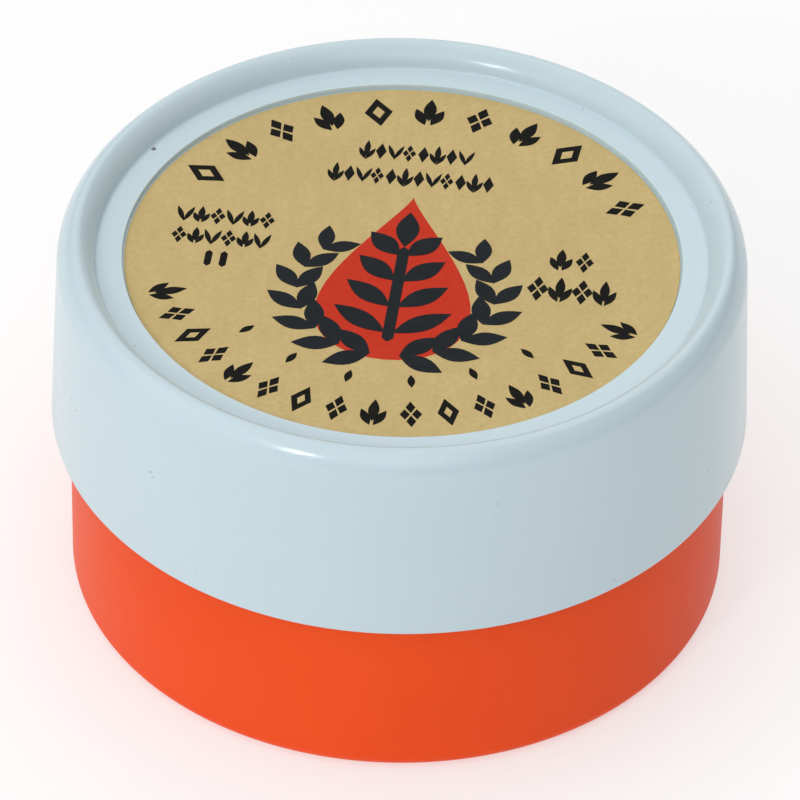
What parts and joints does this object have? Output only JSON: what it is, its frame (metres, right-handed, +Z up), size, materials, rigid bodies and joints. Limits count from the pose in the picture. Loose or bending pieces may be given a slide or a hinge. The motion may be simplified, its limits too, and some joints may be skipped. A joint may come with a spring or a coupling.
{
  "type": "boxed rosin cake",
  "caption": "Round moulded box with a slip-on lid and a recessed paper label, holding a cake of violin rosin glued in a gathered cloth.",
  "frame": {"origin": "centre of the foot ring's resting plane, under the middle of the box", "axes": "+Z up along the box's axis through the lid; -Y is the side from which the label's art stands upright"},
  "size_m": [0.0464, 0.0464, 0.0271],
  "materials": {
    "base_plastic": "satin-gloss orange-red moulded plastic",
    "lid_plastic": "satin-gloss pale grey-blue moulded plastic",
    "label_paper": "flat gold paper with fine grain, black and red print",
    "rosin": "clear amber cast resin, glossy, dusted where used",
    "cloth": "short-pile dark blue cotton velvet",
    "felt": "grey pressed felt",
    "glue": "dried cream adhesive"
  },
  "bodies": {
    "base": {"base_cup": "base_plastic"},
    "seat": {"seat_pad": "felt"},
    "cake": {"cloth_wrap": "cloth", "glue_disc": "glue", "rosin_cake": "rosin"},
    "liner": {"lid_liner": "felt"},
    "lid": {"lid_shell": "lid_plastic", "lid_label": "label_paper"}
  },
  "joints": [
    {"name": "cake_turn", "type": "hinge", "parent": "base", "child": "seat", "pos_m": [0, 0, 0], "axis": [0, 0, 1], "continuous": true},
    {"name": "cake_lift", "type": "slide", "parent": "seat", "child": "cake", "axis": [0, 0, 1], "range_m": [0, 0.03]},
    {"name": "lid_lift", "type": "slide", "parent": "cake", "child": "liner", "axis": [0, 0, 1], "range_m": [0, 0.035]},
    {"name": "lid_turn", "type": "hinge", "parent": "liner", "child": "lid", "pos_m": [0, 0, 0.0253], "axis": [0, 0, 1], "continuous": true}
  ]
}
